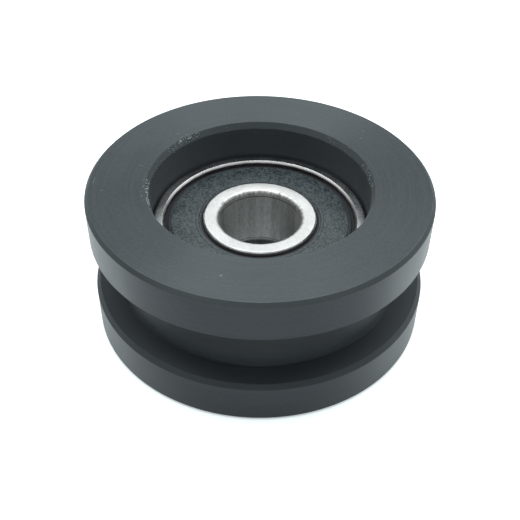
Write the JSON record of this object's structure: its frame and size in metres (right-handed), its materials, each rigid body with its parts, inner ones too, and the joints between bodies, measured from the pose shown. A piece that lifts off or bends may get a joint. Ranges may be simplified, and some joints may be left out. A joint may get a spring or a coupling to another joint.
{
  "type": "grooved track wheel",
  "caption": "Black plastic track wheel with a square groove between chamfered flanges, turning on a sealed ball bearing pressed into its bore.",
  "frame": {"origin": "on the spin axis, at the lower end face that the wheel stands on", "axes": "+Z along the spin axis, from the lower end face to the upper one; the wheel is round, so X and Y are any pair across it, and ball_1 lies on +X"},
  "size_m": [0.05, 0.05, 0.022],
  "materials": {
    "wheel_plastic": "fine-turned matte black plastic",
    "ring_steel": "ground bearing steel",
    "ball_steel": "polished bearing steel",
    "cage_steel": "pressed mild steel",
    "seal_rubber": "moulded rubber with a mottled skin",
    "insert_steel": "bare pressed sheet"
  },
  "bodies": {
    "hub": {"inner_ring": "ring_steel"},
    "wheel": {"wheel_body": "wheel_plastic", "outer_ring": "ring_steel", "upper_seal": "seal_rubber", "upper_seal_insert": "insert_steel", "lower_seal": "seal_rubber", "lower_seal_insert": "insert_steel"},
    "cage": {"cage_upper": "cage_steel", "cage_lower": "cage_steel", "cage_rivets": "cage_steel"},
    "ball_1": {"ball_1": "ball_steel"},
    "ball_2": {"ball_2": "ball_steel"},
    "ball_3": {"ball_3": "ball_steel"},
    "ball_4": {"ball_4": "ball_steel"},
    "ball_5": {"ball_5": "ball_steel"},
    "ball_6": {"ball_6": "ball_steel"},
    "ball_7": {"ball_7": "ball_steel"}
  },
  "joints": [
    {"name": "wheel_spin", "type": "hinge", "parent": "hub", "child": "wheel", "pos_m": [0, 0, 0.011], "axis": [0, 0, 1], "continuous": true},
    {"name": "cage_spin", "type": "hinge", "parent": "hub", "child": "cage", "pos_m": [0, 0, 0.011], "axis": [0, 0, 1], "continuous": true},
    {"name": "ball_1_spin", "type": "hinge", "parent": "cage", "child": "ball_1", "pos_m": [0.011, 0, 0.011], "axis": [0, 0, 1], "continuous": true},
    {"name": "ball_2_spin", "type": "hinge", "parent": "cage", "child": "ball_2", "pos_m": [0.00686, 0.0086, 0.011], "axis": [0, 0, 1], "continuous": true},
    {"name": "ball_3_spin", "type": "hinge", "parent": "cage", "child": "ball_3", "pos_m": [-0.00245, 0.01072, 0.011], "axis": [0, 0, 1], "continuous": true},
    {"name": "ball_4_spin", "type": "hinge", "parent": "cage", "child": "ball_4", "pos_m": [-0.00991, 0.00477, 0.011], "axis": [0, 0, 1], "continuous": true},
    {"name": "ball_5_spin", "type": "hinge", "parent": "cage", "child": "ball_5", "pos_m": [-0.00991, -0.00477, 0.011], "axis": [0, 0, 1], "continuous": true},
    {"name": "ball_6_spin", "type": "hinge", "parent": "cage", "child": "ball_6", "pos_m": [-0.00245, -0.01072, 0.011], "axis": [0, 0, 1], "continuous": true},
    {"name": "ball_7_spin", "type": "hinge", "parent": "cage", "child": "ball_7", "pos_m": [0.00686, -0.0086, 0.011], "axis": [0, 0, 1], "continuous": true}
  ],
  "couplings": [
    {"joint": "cage_spin", "follows": "wheel_spin", "ratio": 0.63523},
    {"joint": "ball_1_spin", "follows": "wheel_spin", "ratio": 1.7135},
    {"joint": "ball_2_spin", "follows": "wheel_spin", "ratio": 1.7135},
    {"joint": "ball_3_spin", "follows": "wheel_spin", "ratio": 1.7135},
    {"joint": "ball_4_spin", "follows": "wheel_spin", "ratio": 1.7135},
    {"joint": "ball_5_spin", "follows": "wheel_spin", "ratio": 1.7135},
    {"joint": "ball_6_spin", "follows": "wheel_spin", "ratio": 1.7135},
    {"joint": "ball_7_spin", "follows": "wheel_spin", "ratio": 1.7135}
  ]
}
